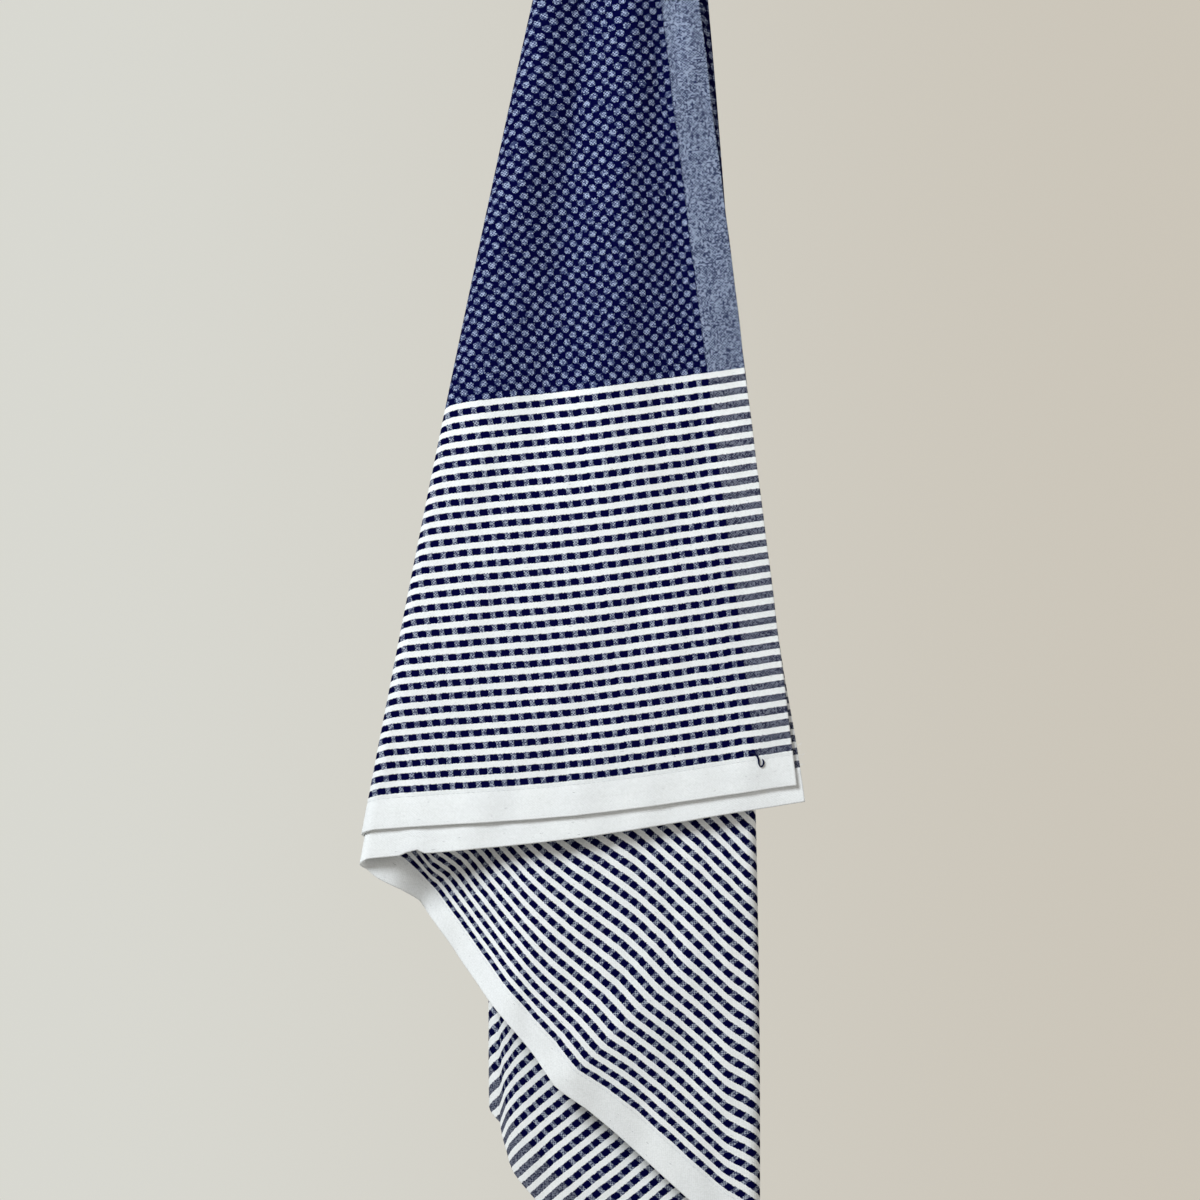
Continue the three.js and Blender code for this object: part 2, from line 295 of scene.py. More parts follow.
@dataclass(frozen=True)
class ClothLay:
    """How the flat cloth lies along the fan's lines.

    A line crosses the cloth's width and its length at these rates near the free edge, each for the
    whole of the line, and has this width of cloth gathered up to it at the hanging point.
    """

    width: float = 750.0
    half_length: float = 750.0
    # s, gathered, across, down
    rows: Rows = (
        (0, 0, 0, 739), (145, 13, 132, 749), (290, 26, 264, 771), (340, 29, 400, 800),
        (380, 31, 470, 810), (430, 34, 545, 815), (500, 37, 640, 815), (600, 42, 725, 811),
        (675, 46, 811, 828), (750, 50, 801, 823), (882, 54, 775, 715), (954, 58, 750, 629),
        (1100, 66, 684, 400), (1210, 72, 678, 290), (1340, 77, 673, 160), (1500, 81, 669, 0),
    )
    power: float = 3.0
    # s, the share of each line by which the front ply ends higher than the back one
    front_short: Rows = ((0, 0.015), (150, 0.02), (290, 0.025), (305, 0.022), (345, 0))
    short_from: float = 0.28
    # Between which places the front ply takes up the rate across that the back one has all along
    front_skew: Pair = (290, 700)
    # Past the free corner, over what width the way to the edge turns to run along the line
    corner_width: float = 100.0

    def rates(self, s: Array) -> tuple[Array, Array, Array]:
        """The width gathered at the top, and the rates across and down, at places along the free edge."""
        columns = np.array(self.rows, dtype=float).T
        gathered, across, down = (smooth_curve(columns[0], column, s) for column in columns[1:])
        return gathered, across, down

    def short(self, s: Array, ply: Ply) -> Array:
        """The share of each line by which a ply ends short of the longer one."""
        if ply is Ply.BACK:
            return np.zeros_like(s)
        knots, shares = np.array(self.front_short, dtype=float).T
        return smooth_curve(knots, shares, np.clip(s, knots[0], knots[-1]))

    def place(self, s: Array, t: Array, ply: Ply = Ply.BACK) -> tuple[Array, Array]:
        """The place in the flat cloth.

        Args:
            s: places along the free edge.
            t: shares of the way down.
            ply: the ply, because the front one ends a little higher.

        Returns:
            u from the near selvedge, and v from the line over the hanging point.
        """
        gathered, across, down = self.rates(s)
        foot_v = self.half_length - np.maximum(0.0, s - self.width)
        foot_u = np.minimum(s, self.width)
        if ply is Ply.FRONT:
            across = foot_u - gathered + (across - foot_u + gathered) * smoothstep(s, *self.front_skew)
        shift = self.short(s, ply) * smoothstep(t, 0.0, self.short_from)

        def laid(foot: Array, rate: Array, top: Array) -> Array:
            """One coordinate, from its foot, its rate there and its value at the top."""
            return foot - rate * (1.0 - t) + (top - foot + rate) * (1.0 - t) ** self.power + shift * rate

        return laid(foot_u, across, gathered), laid(foot_v, down, 0.0 * s)

    def share_at(self, s: Array, from_edge: float, ply: Ply) -> Array:
        """The share of the way down at a distance from the free edge, measured down the cloth."""
        _, across, down = self.rates(s)
        beyond = smoothstep(s, self.width, self.width + self.corner_width)
        rate = down + (np.hypot(across, down) - down) * beyond
        return 1.0 - self.short(s, ply) - from_edge / rate


@dataclass(frozen=True)
class Band:
    """A strength that rises and falls again."""

    start: float
    full: float
    until: float
    end: float

    def at(self, value: Array) -> Array:
        """The strength at each value, from 0 to 1."""
        return smoothstep(value, self.start, self.full) * (1.0 - smoothstep(value, self.until, self.end))


@dataclass(frozen=True)
class DoubleCloth:
    """The double cloth as it hangs: its middle surface, and each ply's points beside it."""

    fan: Fan = field(default_factory=Fan)
    lay: ClothLay = field(default_factory=ClothLay)
    ply_offset: float = 1.5

    # Soft upright folds in the front leaf: s, half width, how far back
    soft_folds: Rows = ((252, 26, -4), (190, 26, 6), (124, 28, -5), (60, 26, 2))
    soft_down: Band = Band(0.0, 0.12, 0.4, 0.84)
    soft_until: Pair = (262, 280)

    # Creases along the warp in the lower front leaf: u, how far the cloth slips down, how far back
    warp_creases: Rows = (
        (298, 0, 0), (338, -8, 8), (358, -5, 4.5), (384, -1, 2.5),
        (422, 5, 0), (469, 9.5, -3), (492, 14, -6), (516, 10.5, -3),
        (540, 8.3, -0.8), (573, 7, 0), (610, 5.5, 0), (668, 0, 0),
    )
    warp_slope: float = 0.788
    creases_down: Pair = (560, 740)
    crease_start: float = 9
    crease_margin: float = 34

    # The lower front leaf tips back towards its hem on the left, and its rows close up there
    tuck_along: Band = Band(318, 348, 380, 450)
    tuck_down: Pair = (0.84, 1.02)
    tuck_back: float = 15
    squeeze_along: Band = Band(318, 350, 430, 560)
    squeeze_share: float = 0.3
    squeeze_power: float = 6

    # The bundle's sides curve back by this much at this distance from its middle, at the top and foot
    curve_top: Pair = (9, 60)
    curve_foot: Pair = (5, 180)

    # The back ply's free corner flares past the front one's
    flare: tuple[float, float, float] = (4, 0.83, 60)

    # Ripples of the hanging cloth: height, length along s, waves down the line, phase
    ripples: Rows = (
        (0.55, 92, 5.1, 0.4), (0.4, 57, 8.3, 1.9), (0.3, 37, 3.2, 4.4), (0.22, 29, 12.7, 2.6),
    )
    ripple_sway: float = 0.3
    ripple_shift: float = 2.3
    ripples_down: Pair = (0.05, 0.3)

    # A crease pressed down the front leaf: its place u, and its half width, height, start and full v
    pressed_at: float = 251
    pressed: tuple[float, ...] = (3.2, 1.3, 480, 690)
    front_until: Pair = (275, 284)
    # It pinches the back ply's hem: half width, how far back and up, start and full v
    pinch: tuple[float, ...] = (4.5, -1.6, 3.6, 718, 750)

    def _soft_folds(self, s: Array, t: Array) -> Array:
        """How far the soft upright folds move the front leaf back, at places s and shares t."""
        bumps = sum(back * np.exp(-(((s - at) / width) ** 2)) for at, width, back in self.soft_folds)
        return self.soft_down.at(t) * (1.0 - smoothstep(s, *self.soft_until)) * bumps

    def _creases(self, s: Array, t: Array) -> Array:
        """How far the creases along the warp move the lower front leaf.

        Args:
            s: places along the free edge.
            t: shares of the way down.

        Returns:
            One move a row, in millimetres.
        """
        left, right = self.fan.folds[:2]
        u, v = self.lay.place(s, t)
        inside = smoothstep(s, left.s + self.crease_start, left.s + self.crease_margin)
        inside = inside * (1.0 - smoothstep(s, right.s - self.crease_margin, right.s - self.crease_start))
        strength = inside * smoothstep(v, *self.creases_down)
        knots, slips, backs = np.array(self.warp_creases, dtype=float).T
        slip = strength * np.interp(u, knots, slips)
        back = strength * np.interp(u, knots, backs)
        return np.stack([-slip * math.sin(self.warp_slope), back, -slip * math.cos(self.warp_slope)], axis=1)

    def _crease(self, s: Array, t: Array, width: float, start: float, full: float) -> Array:
        """The pressed crease's strength: its half width, and the v where it starts and is full."""
        u, v = self.lay.place(s, t)
        return np.exp(-(((u - self.pressed_at) / width) ** 2)) * smoothstep(v, start, full)

    def _relief(self, s: Array, t: Array) -> Array:
        """How far ripples and the pressed crease move the cloth back.

        Args:
            s: places along the free edge.
            t: shares of the way down.

        Returns:
            The move at each point.
        """
        waves = sum(
            height * np.sin(2 * math.pi * (s / length + self.ripple_sway * math.sin(phase) * t) + phase)
            * np.sin(2 * math.pi * count * t + self.ripple_shift * phase)
            for height, length, count, phase in self.ripples
        )
        width, height, start, full = self.pressed
        ridge = height * self._crease(s, t, width, start, full)
        front = 1.0 - smoothstep(s, *self.front_until)
        return waves * smoothstep(t, *self.ripples_down) + ridge * front

    def middle(self, s: Array, t: Array) -> Array:
        """The middle surface.

        Args:
            s: places along the free edge.
            t: shares of the way down.

        Returns:
            One point a row.
        """
        squeezed = self.squeeze_share * self.squeeze_along.at(s) * t**self.squeeze_power * (1.0 - t)
        points = self.fan.point(s, t + squeezed) + self._creases(s, t)
        points[:, 1] += self._soft_folds(s, t) + self._relief(s, t)
        points[:, 1] += self.tuck_back * self.tuck_along.at(s) * smoothstep(t, *self.tuck_down)
        (top, top_reach), (foot, foot_reach) = self.curve_top, self.curve_foot
        reach = top_reach + (foot_reach - top_reach) * t
        points[:, 1] += (top + (foot - top) * t) * (points[:, 0] / reach) ** 2
        return points

    def directions(self, s: Array, t: Array) -> tuple[Array, Array, Array]:
        """The directions at the middle surface.

        Args:
            s: places along the free edge.
            t: shares of the way down.

        Returns:
            The unit directions across it to the front ply, on along s, and up, each one a row.
        """
        step_s, step_t = 0.5, 0.002
        last = self.fan.last
        along = self.middle(np.minimum(s + step_s, last), t) - self.middle(np.maximum(s - step_s, 0.0), t)
        down = self.middle(s, np.minimum(t + step_t, 1.0)) - self.middle(s, np.maximum(t - step_t, 0.0))
        across = unit(np.cross(along, down))
        onward = facing(unit(np.cross(down, across)), along)
        up = facing(unit(np.cross(along, across)), -down)
        return across, onward, up

    def ply_points(
        self,
        s: Array,
        t: Array,
        ply: Ply,
        proud: Array | float = 0.0,
        beside: Array | float = 0.0,
        over: Array | float = 0.0,
    ) -> tuple[Array, Array]:
        """Points beside the middle surface.

        Args:
            s: places along the free edge.
            t: shares of the way down.
            ply: which ply they are on.
            proud: how far they stand out from the ply's middle.
            beside: angle past the middle line, where the plies turn into each other.
            over: angle past the top, where the plies turn into each other.

        Returns:
            The points, and the directions in which they face, one a row.
        """
        across, onward, up = self.directions(s, t)
        beside, over, proud = (
            np.broadcast_to(np.asarray(value, float), s.shape) for value in (beside, over, proud)
        )
        out = across * (ply.value * np.cos(over) * np.cos(beside))[:, None]
        out = unit(out + onward * np.sin(beside)[:, None] + up * np.sin(over)[:, None])
        points = self.middle(s, t) + out * (self.ply_offset + proud)[:, None]
        if ply is Ply.BACK:
            reach, start, width = self.flare
            points[:, 0] += reach * smoothstep(t, start, 1.0) * (1.0 - smoothstep(s, 0.0, width))
            width, back, up, start, full = self.pinch
            strength = self._crease(s, t, width, start, full) * (s < self.soft_until[1])
            points += np.outer(strength, (0.0, back, up))
        return points, out


def spread(start: float, end: float, step: float) -> list[float]:
    """Even places from start up to end, without the end itself."""
    count = max(1, round((end - start) / step))
    return [start + (end - start) * i / count for i in range(count)]


def new_object(name: str, data: bpy.types.ID) -> Object:
    """An object of a mesh, a light or a camera, linked to the scene."""
    made = bpy.data.objects.new(name, data)
    bpy.context.scene.collection.objects.link(made)
    return made


def new_solid(name: str, bm: bmesh.types.BMesh, material: Material) -> Object:
    """Makes an object of a bmesh.

    Args:
        name: the object's name.
        bm: its mesh, freed here.
        material: its finish.

    Returns:
        The object.
    """
    mesh = bpy.data.meshes.new(name)
    bm.to_mesh(mesh)
    bm.free()
    mesh.materials.append(material)
    return new_object(name, mesh)


def new_piece(name: str, bm: bmesh.types.BMesh, material: Material) -> Object:
    """Makes a smooth piece of a bmesh, as new_solid does, which rides on the towel's body."""
    for face in bm.faces:
        face.smooth = True
    piece = new_solid(name, bm, material)
    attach(piece, BODY)
    return piece


@dataclass(frozen=True)
class GridRow:
    """A row of the sheet's faces: its ply, and its share of the way down or its distance from the edge."""

    ply: Ply
    share: float = 0.0
    from_edge: float | None = None
    over: float = 0.0


@dataclass
class TowelSheet:
    """The towel's cloth, one sheet with a thicker hem at each end."""

    cloth: DoubleCloth
    thickness: float = 0.9
    hem_depth: float = 23.0
    hem_thickness: float = 1.9
    hem_proud: float = 0.25
    stitch_line: float = 20.5
    stitch_groove: float = 0.3
    groove_width: float = 1.1
    hem_step: float = 0.8
    edge_band: float = 60.0
    # Steps of the columns in each leaf, and of the rows from one share of the way down to the next
    leaf_steps: tuple[float, ...] = (5.2, 4.8, 8, 12, 12, 12, 14)
    fold_steps: tuple[float, ...] = (2.2, 2.2, 3, 3.4, 3.4, 3.4)
    fold_reach: float = 19.8
    row_steps: Rows = ((0.0, 0.22, 0.03), (0.22, 0.62, 0.0155), (0.62, 1.0, 0.012))
    # The distances from the free edge of the last rows, close at the top of the hem and at its sewing
    edge_rows: tuple[float, ...] = (
        *(60, 52, 45, 39, 34, 30, 27, 24.6, 23.4, 22.6),
        *(21.6, 20.5, 19.4, 17, 12.5, 8, 4, 1, 0),
    )
    round_steps: int = 2
    # The first columns, and how far from the hem's end there is one on each side
    selvedge_columns: tuple[float, ...] = (0.0, 1.0, 3.0)
    hem_end: float = 1.0

    def columns(self) -> Array:
        """The columns from the near selvedge to the middle line: s and the angle past that line."""
        fan = self.cloth.fan
        *places, start = self.selvedge_columns
        for fold, leaf_step, fold_step in zip(fan.folds, self.leaf_steps, self.fold_steps):
            places += spread(start, fold.s - self.fold_reach, leaf_step)
            start = fold.s + self.fold_reach
            places += spread(fold.s - self.fold_reach, start, fold_step)
        places += [*spread(start, fan.last, self.leaf_steps[-1]), fan.last]
        ends = (0.0, self.hem_depth - self.hem_end, self.hem_depth + self.hem_end)
        places += [fan.corner + beyond for beyond in ends]
        columns = [(s, 0.0) for s in sorted(set(places))]
        columns += [(fan.last, math.pi / 2 * i / self.round_steps) for i in range(1, self.round_steps + 1)]
        return np.array(columns)

    def rows(self) -> list[GridRow]:
        """The rows from the front ply's hem over the top to the back ply's hem."""
        shares = [share for start, end, step in self.row_steps for share in spread(start, end, step)]
        halves = {
            ply: [GridRow(ply, share=share) for share in shares]
            + [GridRow(ply, from_edge=distance) for distance in self.edge_rows]
            for ply in Ply
        }
        turn = [math.pi / 2 * i / self.round_steps for i in range(1, self.round_steps + 1)]
        over = [GridRow(Ply.FRONT, over=angle) for angle in turn]
        over += [GridRow(Ply.BACK, over=angle) for angle in reversed(turn[:-1])]
        return [*reversed(halves[Ply.FRONT]), *over, *halves[Ply.BACK]]

    def row_shares(self, row: GridRow, s: Array) -> Array:
        """The row's share of the way down at each place."""
        if row.from_edge is not None:
            return self.cloth.lay.share_at(s, row.from_edge, row.ply)
        return row.share * self.cloth.lay.share_at(s, self.edge_band, row.ply)

    def hem_strength(self, v: Array) -> Array:
        """1 in the hem, 0 in the single cloth."""
        top = self.cloth.lay.half_length - self.hem_depth
        return smoothstep(v, top - self.hem_step, top + self.hem_step)

    def surface(self, s: Array, row: GridRow, beside: Array) -> tuple[Array, ...]:
        """One row of the cloth's outer face.

        Args:
            s: the columns' places.
            row: the row.
            beside: the columns' angles past the middle line.

        Returns:
            The points, and each one's place in the flat cloth and strength of the hem.
        """
        t = self.row_shares(row, s)
        u, v = self.cloth.lay.place(s, t, row.ply)
        hem = self.hem_strength(v)
        line = self.cloth.lay.half_length - self.stitch_line
        groove = self.stitch_groove * np.exp(-(((v - line) / self.groove_width) ** 2))
        proud = self.thickness / 2 + self.hem_proud * hem - groove
        points, _ = self.cloth.ply_points(s, t, row.ply, proud, beside, row.over)
        return points, u, v * -row.ply.value, hem

    def make(self, material: Material) -> Object:
        """Builds the sheet.

        Args:
            material: the cloth's finish.

        Returns:
            The sheet, with its thickness as a live Solidify.
        """
        columns, rows = self.columns(), self.rows()
        laid = [self.surface(columns[:, 0], row, columns[:, 1]) for row in rows]
        points, u, v, hem = (np.array(part) for part in zip(*laid))
        half = self.cloth.lay.half_length

        bm = bmesh.new()
        across, down = len(columns) - 1, len(rows) - 1
        bmesh.ops.create_grid(bm, x_segments=across, y_segments=down, size=1.0)
        uv_layer = bm.loops.layers.uv.new(UV_MAP)
        weights = bm.verts.layers.deform.verify()
        grid = [(round((vert.co.y + 1) / 2 * down), round((vert.co.x + 1) / 2 * across)) for vert in bm.verts]
        bm.verts.index_update()
        for face in bm.faces:
            for loop in face.loops:
                at = grid[loop.vert.index]
                loop[uv_layer].uv = (u[at] * MM, (half + v[at]) * MM)
        for vert, at in zip(bm.verts, grid):
            vert.co = Vector(points[at]) * MM
            vert[weights][0] = float(hem[at])
        joined = [vert for vert, (_, column) in zip(bm.verts, grid) if column == across]
        bmesh.ops.remove_doubles(bm, verts=joined, dist=1e-6)
        bm.normal_update()
        bm.faces.ensure_lookup_table()
        if bm.faces[0].normal.y > 0:
            bmesh.ops.reverse_faces(bm, faces=bm.faces)

        sheet = new_piece("towel_cloth", bm, material)
        sheet.vertex_groups.new(name="hem")
        solidify = sheet.modifiers.new("thickness", "SOLIDIFY")
        solidify.thickness = self.hem_thickness * MM
        solidify.offset = -1.0
        solidify.vertex_group = "hem"
        solidify.thickness_vertex_group = self.thickness / self.hem_thickness
        log.info("cloth: %d columns, %d rows", across + 1, down + 1)
        return sheet


@dataclass
class HemStitching:
    """The line of sewing that holds both hems."""

    sheet: TowelSheet
    stitch: float = 2.5
    spacing: float = 3.3
    width: float = 0.42
    height: float = 0.3
    # How far the line stays from the cloth's sides, its steps, and how deep it lies in the groove
    margins: Pair = (2.0, 1.0)
    step: float = 0.5
    sunk_share: float = 0.6

    def line(self, ply: Ply) -> tuple[Array, Array]:
        """The places of one hem's stitches.

        Args:
            ply: the ply whose hem is sewn.

        Returns:
            The stitches' ends in turn, and the directions in which they face.
        """
        lay = self.sheet.cloth.lay
        depth = self.sheet.stitch_line
        first, last = self.margins
        s = np.arange(first, lay.width + depth - last, self.step)
        _, _, down = lay.rates(s)
        t = 1.0 - lay.short(s, ply) - (depth - np.maximum(0.0, s - lay.width)) / down
        sunk = self.sheet.thickness / 2 + self.sheet.hem_proud - self.sheet.stitch_groove * self.sunk_share
        points, out = self.sheet.cloth.ply_points(s, t, ply, sunk)
        run = np.concatenate([[0.0], np.cumsum(np.linalg.norm(np.diff(points, axis=0), axis=1))])
        starts = np.arange(0.0, run[-1] - self.stitch, self.spacing)
        ends = np.stack([starts, starts + self.stitch], axis=1).ravel()
        places = np.stack([np.interp(ends, run, points[:, axis]) for axis in range(3)], axis=1)
        faces = np.stack([np.interp(ends, run, out[:, axis]) for axis in range(3)], axis=1)
        return places, faces

    def make(self, material: Material) -> Object:
        """Builds the stitches of both hems as one piece."""
        bm = bmesh.new()
        for ply in Ply:
            places, faces = self.line(ply)
            for i in range(0, len(places), 2):
                start, end = Vector(places[i]), Vector(places[i + 1])
                along = (end - start).normalized()
                out = Vector(faces[i])
                side = out.cross(along).normalized()
                axes = Matrix((side, along.cross(side) * -1, along)).transposed().to_4x4()
                half_sizes = Vector((self.width, self.height, (end - start).length)) / 2 * MM
                size = Matrix.Diagonal((*half_sizes, 1.0))
                matrix = Matrix.Translation((start + end) / 2 * MM) @ axes @ size
                bmesh.ops.create_uvsphere(bm, u_segments=6, v_segments=5, radius=1.0, matrix=matrix)
        bmesh.ops.recalc_face_normals(bm, faces=bm.faces)
        return new_piece("hem_stitches", bm, material)


def sweep_thread(
    bm: bmesh.types.BMesh, path: list[Vector], radius: float, sides: int = 6, tip: float = 0.35
) -> None:
    """Sweeps a round thread along a path, with a fine point at its far end.

    Args:
        bm: the mesh that it is added to.
        path: its points, in metres.
        radius: its radius at the start, in metres.
        sides: the number of its sides.
        tip: its radius at the far end, as a share.
    """
    ring = bmesh.ops.create_circle(bm, segments=sides, radius=radius, cap_ends=True)["verts"]
    towards = (path[1] - path[0]).normalized()
    bmesh.ops.transform(
        bm,
        matrix=Matrix.Translation(path[0]) @ towards.to_track_quat("Z", "Y").to_matrix().to_4x4(),
        verts=ring,
    )
    face = ring[0].link_faces[0]
    for i in range(1, len(path)):
        new = bmesh.ops.extrude_face_region(bm, geom=[face])["geom"]
        verts = [item for item in new if isinstance(item, bmesh.types.BMVert)]
        next_face = next(item for item in new if isinstance(item, bmesh.types.BMFace))
        bmesh.ops.translate(bm, vec=path[i] - path[i - 1], verts=verts)
        if i > 1:
            bm.faces.remove(face)
        change = Matrix.Scale(tip, 4)
        if i < len(path) - 1:
            before = (path[i] - path[i - 1]).normalized()
            after = (path[i + 1] - path[i]).normalized()
            change = before.rotation_difference(after).to_matrix().to_4x4()
        centre = Matrix.Translation(path[i])
        bmesh.ops.transform(bm, matrix=centre @ change @ centre.inverted(), verts=verts)
        face = next_face


@dataclass
class LooseThreads:
    """The navy thread end beside the front hem, and the wisps that fray from the back ply's edge."""

    cloth: DoubleCloth
    half_thickness: float = 0.45
    # The places s that are looked at beside the tail, and its x, z and how far it stands out
    tail_places: tuple[float, float, int] = (0.0, 90.0, 181)
    tail: Rows = (
        (71.6, -705.6, 0.5), (74.6, -706.4, 0.8), (76.6, -708.0, 1.0), (77.5, -710.2, 1.0),
        (77.6, -712.6, 0.9), (78.4, -714.6, 0.8), (79.7, -714.7, 0.8), (80.7, -713.1, 0.9),
        (80.7, -711.3, 1.0), (79.9, -709.9, 0.9),
    )
    tail_radius: float = 0.66
    # height above the hem's foot, length, slope
    wisps: Rows = (
        (37, 3.4, 0.3), (34, 2.2, -0.4), (31, 4.1, -0.1), (28.5, 2.6, 0.5),
        (25.6, 3.2, -0.6), (24.2, 1.9, 0.1),
    )
    wisp_radius: float = 0.09
    # A wisp's points as shares of its length, and how it bends forward and up
    wisp_shares: tuple[float, ...] = (-0.2, 0.4, 0.75, 1.0)
    wisp_forward: float = 0.4
    wisp_up: float = 0.35

    def make_tail(self, material: Material) -> Object:
        """Builds the loose thread end."""
        s = np.linspace(*self.tail_places)
        path = []
        for x, z, proud in self.tail:
            t = np.full_like(s, z / self.cloth.fan.lines[0].z)
            points, _ = self.cloth.ply_points(s, t, Ply.FRONT, self.half_thickness)
            front = np.interp(-x, -points[:, 0], points[:, 1])
            path.append(Vector((x, front - proud, z)) * MM)
        bm = bmesh.new()
        sweep_thread(bm, path, self.tail_radius * MM)
        bmesh.ops.recalc_face_normals(bm, faces=bm.faces)
        return new_piece("thread_end", bm, material)

    def make_wisps(self, material: Material) -> Object:
        """Builds the frayed wisps as one piece."""
        bm = bmesh.new()
        for above, length, slope in self.wisps:
            s = np.array([0.0])
            t = self.cloth.lay.share_at(s, above, Ply.BACK)
            points, _ = self.cloth.ply_points(s, t, Ply.BACK, 0.0)
            path = []
            for share in self.wisp_shares:
                bend = Vector((share, -self.wisp_forward * share**2, slope * share + self.wisp_up * share**2))
                path.append((Vector(points[0]) + bend * length) * MM)
            sweep_thread(bm, path, self.wisp_radius * MM, sides=5)
        bmesh.ops.recalc_face_normals(bm, faces=bm.faces)
        return new_piece("frayed_wisps", bm, material)


def operation(kind: str, turned: bool = False) -> Callable[..., "Shade"]:
    """Makes a method of Shade that lays one Math node.

    Args:
        kind: the node's operation.
        turned: whether the other value comes first.

    Returns:
        The method.
    """

    def method(shade: "Shade", *others: "Shade | float") -> "Shade":
        """Lays the node."""
        values = (*others, shade) if turned else (shade, *others)
        return shade.board.math(kind, *values)

    return method


class Shade:
    """A number that changes over a surface, which Python's operators work on as Math nodes."""

    def __init__(self, board: "NodeBoard", socket: Socket) -> None:
        """Wraps a socket of a board's tree."""
        self.board = board
        self.socket = socket

    __add__ = __radd__ = operation("ADD")
    __mul__ = __rmul__ = operation("MULTIPLY")
    __sub__ = operation("SUBTRACT")
    __rsub__ = operation("SUBTRACT", turned=True)
    __truediv__ = operation("DIVIDE")
    __pow__ = operation("POWER")
    __abs__ = operation("ABSOLUTE")
    # The lesser of two, the whole number below, and what is left above it
    least = operation("MINIMUM")
    floor = operation("FLOOR")
    part = operation("FRACT")

    def wave(self) -> "Shade":
        """The sine of this many half turns."""
        return self.board.math("SINE", self * math.pi)

    def rise(self, start: float, end: float) -> "Shade":
        """Goes smoothly from 0 at start to 1 at end."""
        node = self.board.add(
            "ShaderNodeMapRange",
            {"interpolation_type": "SMOOTHSTEP"},
            {"Value": self, "From Min": start, "From Max": end},
        )
        return Shade(self.board, node.outputs["Result"])


class NodeBoard:
    """A tree of shader nodes."""

    def __init__(self, tree: bpy.types.NodeTree) -> None:
        """Takes the tree, which is empty."""
        self.tree = tree

    def add(
        self,
        kind: str,
        settings: dict[str, object] | None = None,
        inputs: dict[str | int, object] | None = None,
    ) -> bpy.types.Node:
        """Adds a node.

        Args:
            kind: the node's type.
            settings: its own settings, which are set first.
            inputs: values or links of its sockets, by name or number.

        Returns:
            The node.
        """
        node = self.tree.nodes.new(kind)
        for name, value in (settings or {}).items():
            setattr(node, name, value)
        for name, value in (inputs or {}).items():
            socket = node.inputs[name]
            if isinstance(value, Shade):
                self.tree.links.new(value.socket, socket)
            elif isinstance(value, Socket):
                self.tree.links.new(value, socket)
            else:
                socket.default_value = value
        return node

    def math(self, operation: str, *values: Shade | float) -> Shade:
        """A Math node on one or two values."""
        node = self.add("ShaderNodeMath", {"operation": operation}, dict(enumerate(values)))
        return Shade(self, node.outputs[0])

    def parts(self, vector: Socket) -> tuple[Shade, ...]:
        """The three numbers of a vector."""
        split = self.add("ShaderNodeSeparateXYZ", None, {"Vector": vector})
        return tuple(Shade(self, socket) for socket in split.outputs)

    def place(self, kind: str) -> tuple[Shade, ...]:
        """The coordinates of a place, of one kind that Texture Coordinate has."""
        return self.parts(self.add("ShaderNodeTexCoord").outputs[kind])

    def point(self, x: Shade | float, y: Shade | float) -> Socket:
        """A vector of two numbers."""
        return self.add("ShaderNodeCombineXYZ", None, {"X": x, "Y": y}).outputs[0]

    def speckle(self, x: Shade | float, y: Shade | float = 0.0) -> Shade:
        """A number from 0 to 1 at random for each pair of whole numbers."""
        node = self.add("ShaderNodeTexWhiteNoise", {"noise_dimensions": "2D"}, {"Vector": self.point(x, y)})
        return Shade(self, node.outputs["Value"])

    def noise(self, x: Shade, y: Shade, scale: float, detail: float = 2.0) -> Shade:
        """Smooth noise of a scale, about 0.5."""
        node = self.add(
            "ShaderNodeTexNoise",
            {"noise_dimensions": "2D"},
            {"Vector": self.point(x, y), "Scale": scale, "Detail": detail},
        )
        return Shade(self, node.outputs[0])

    def blend(self, share: Shade, low: Colour | Socket, high: Colour | Socket, kind: str = "MIX") -> Socket:
        """A colour between two, by a share from 0 to 1, or the first one dulled by the second."""
        settings = {"data_type": "RGBA", "clamp_factor": True, "blend_type": kind}
        return self.add("ShaderNodeMix", settings, {0: share, 6: low, 7: high}).outputs[2]

    def finish(
        self,
        colour: Socket | Colour,
        roughness: Shade | float,
        height: Shade | None = None,
        bump: float = 0.5,
        specular: float = 0.03,
    ) -> None:
        """Closes the tree of a cotton or painted surface.

        Args:
            colour: the base colour.
            roughness: the surface's roughness.
            height: the surface's relief in millimetres, or none.
            bump: the strength of the relief.
            specular: the strength of its shine.
        """
        inputs = {"Base Color": colour, "Roughness": roughness, "Specular IOR Level": specular}
        if height is not None:
            relief = self.add("ShaderNodeBump", None, {"Strength": bump, "Distance": MM, "Height": height})
            inputs["Normal"] = relief.outputs[0]
        shader = self.add("ShaderNodeBsdfPrincipled", None, inputs)
        self.add("ShaderNodeOutputMaterial", None, {"Surface": shader.outputs[0]})


def new_material(name: str) -> tuple[Material, NodeBoard]:
    """A new material with an empty tree, and the board that its nodes are laid on."""
    material = bpy.data.materials.new(name)
    material.use_nodes = True
    material.node_tree.nodes.clear()
    return material, NodeBoard(material.node_tree)


def paint(red: float, green: float, blue: float) -> Colour:
    """A colour as a shader takes it."""
    return red, green, blue, 1.0


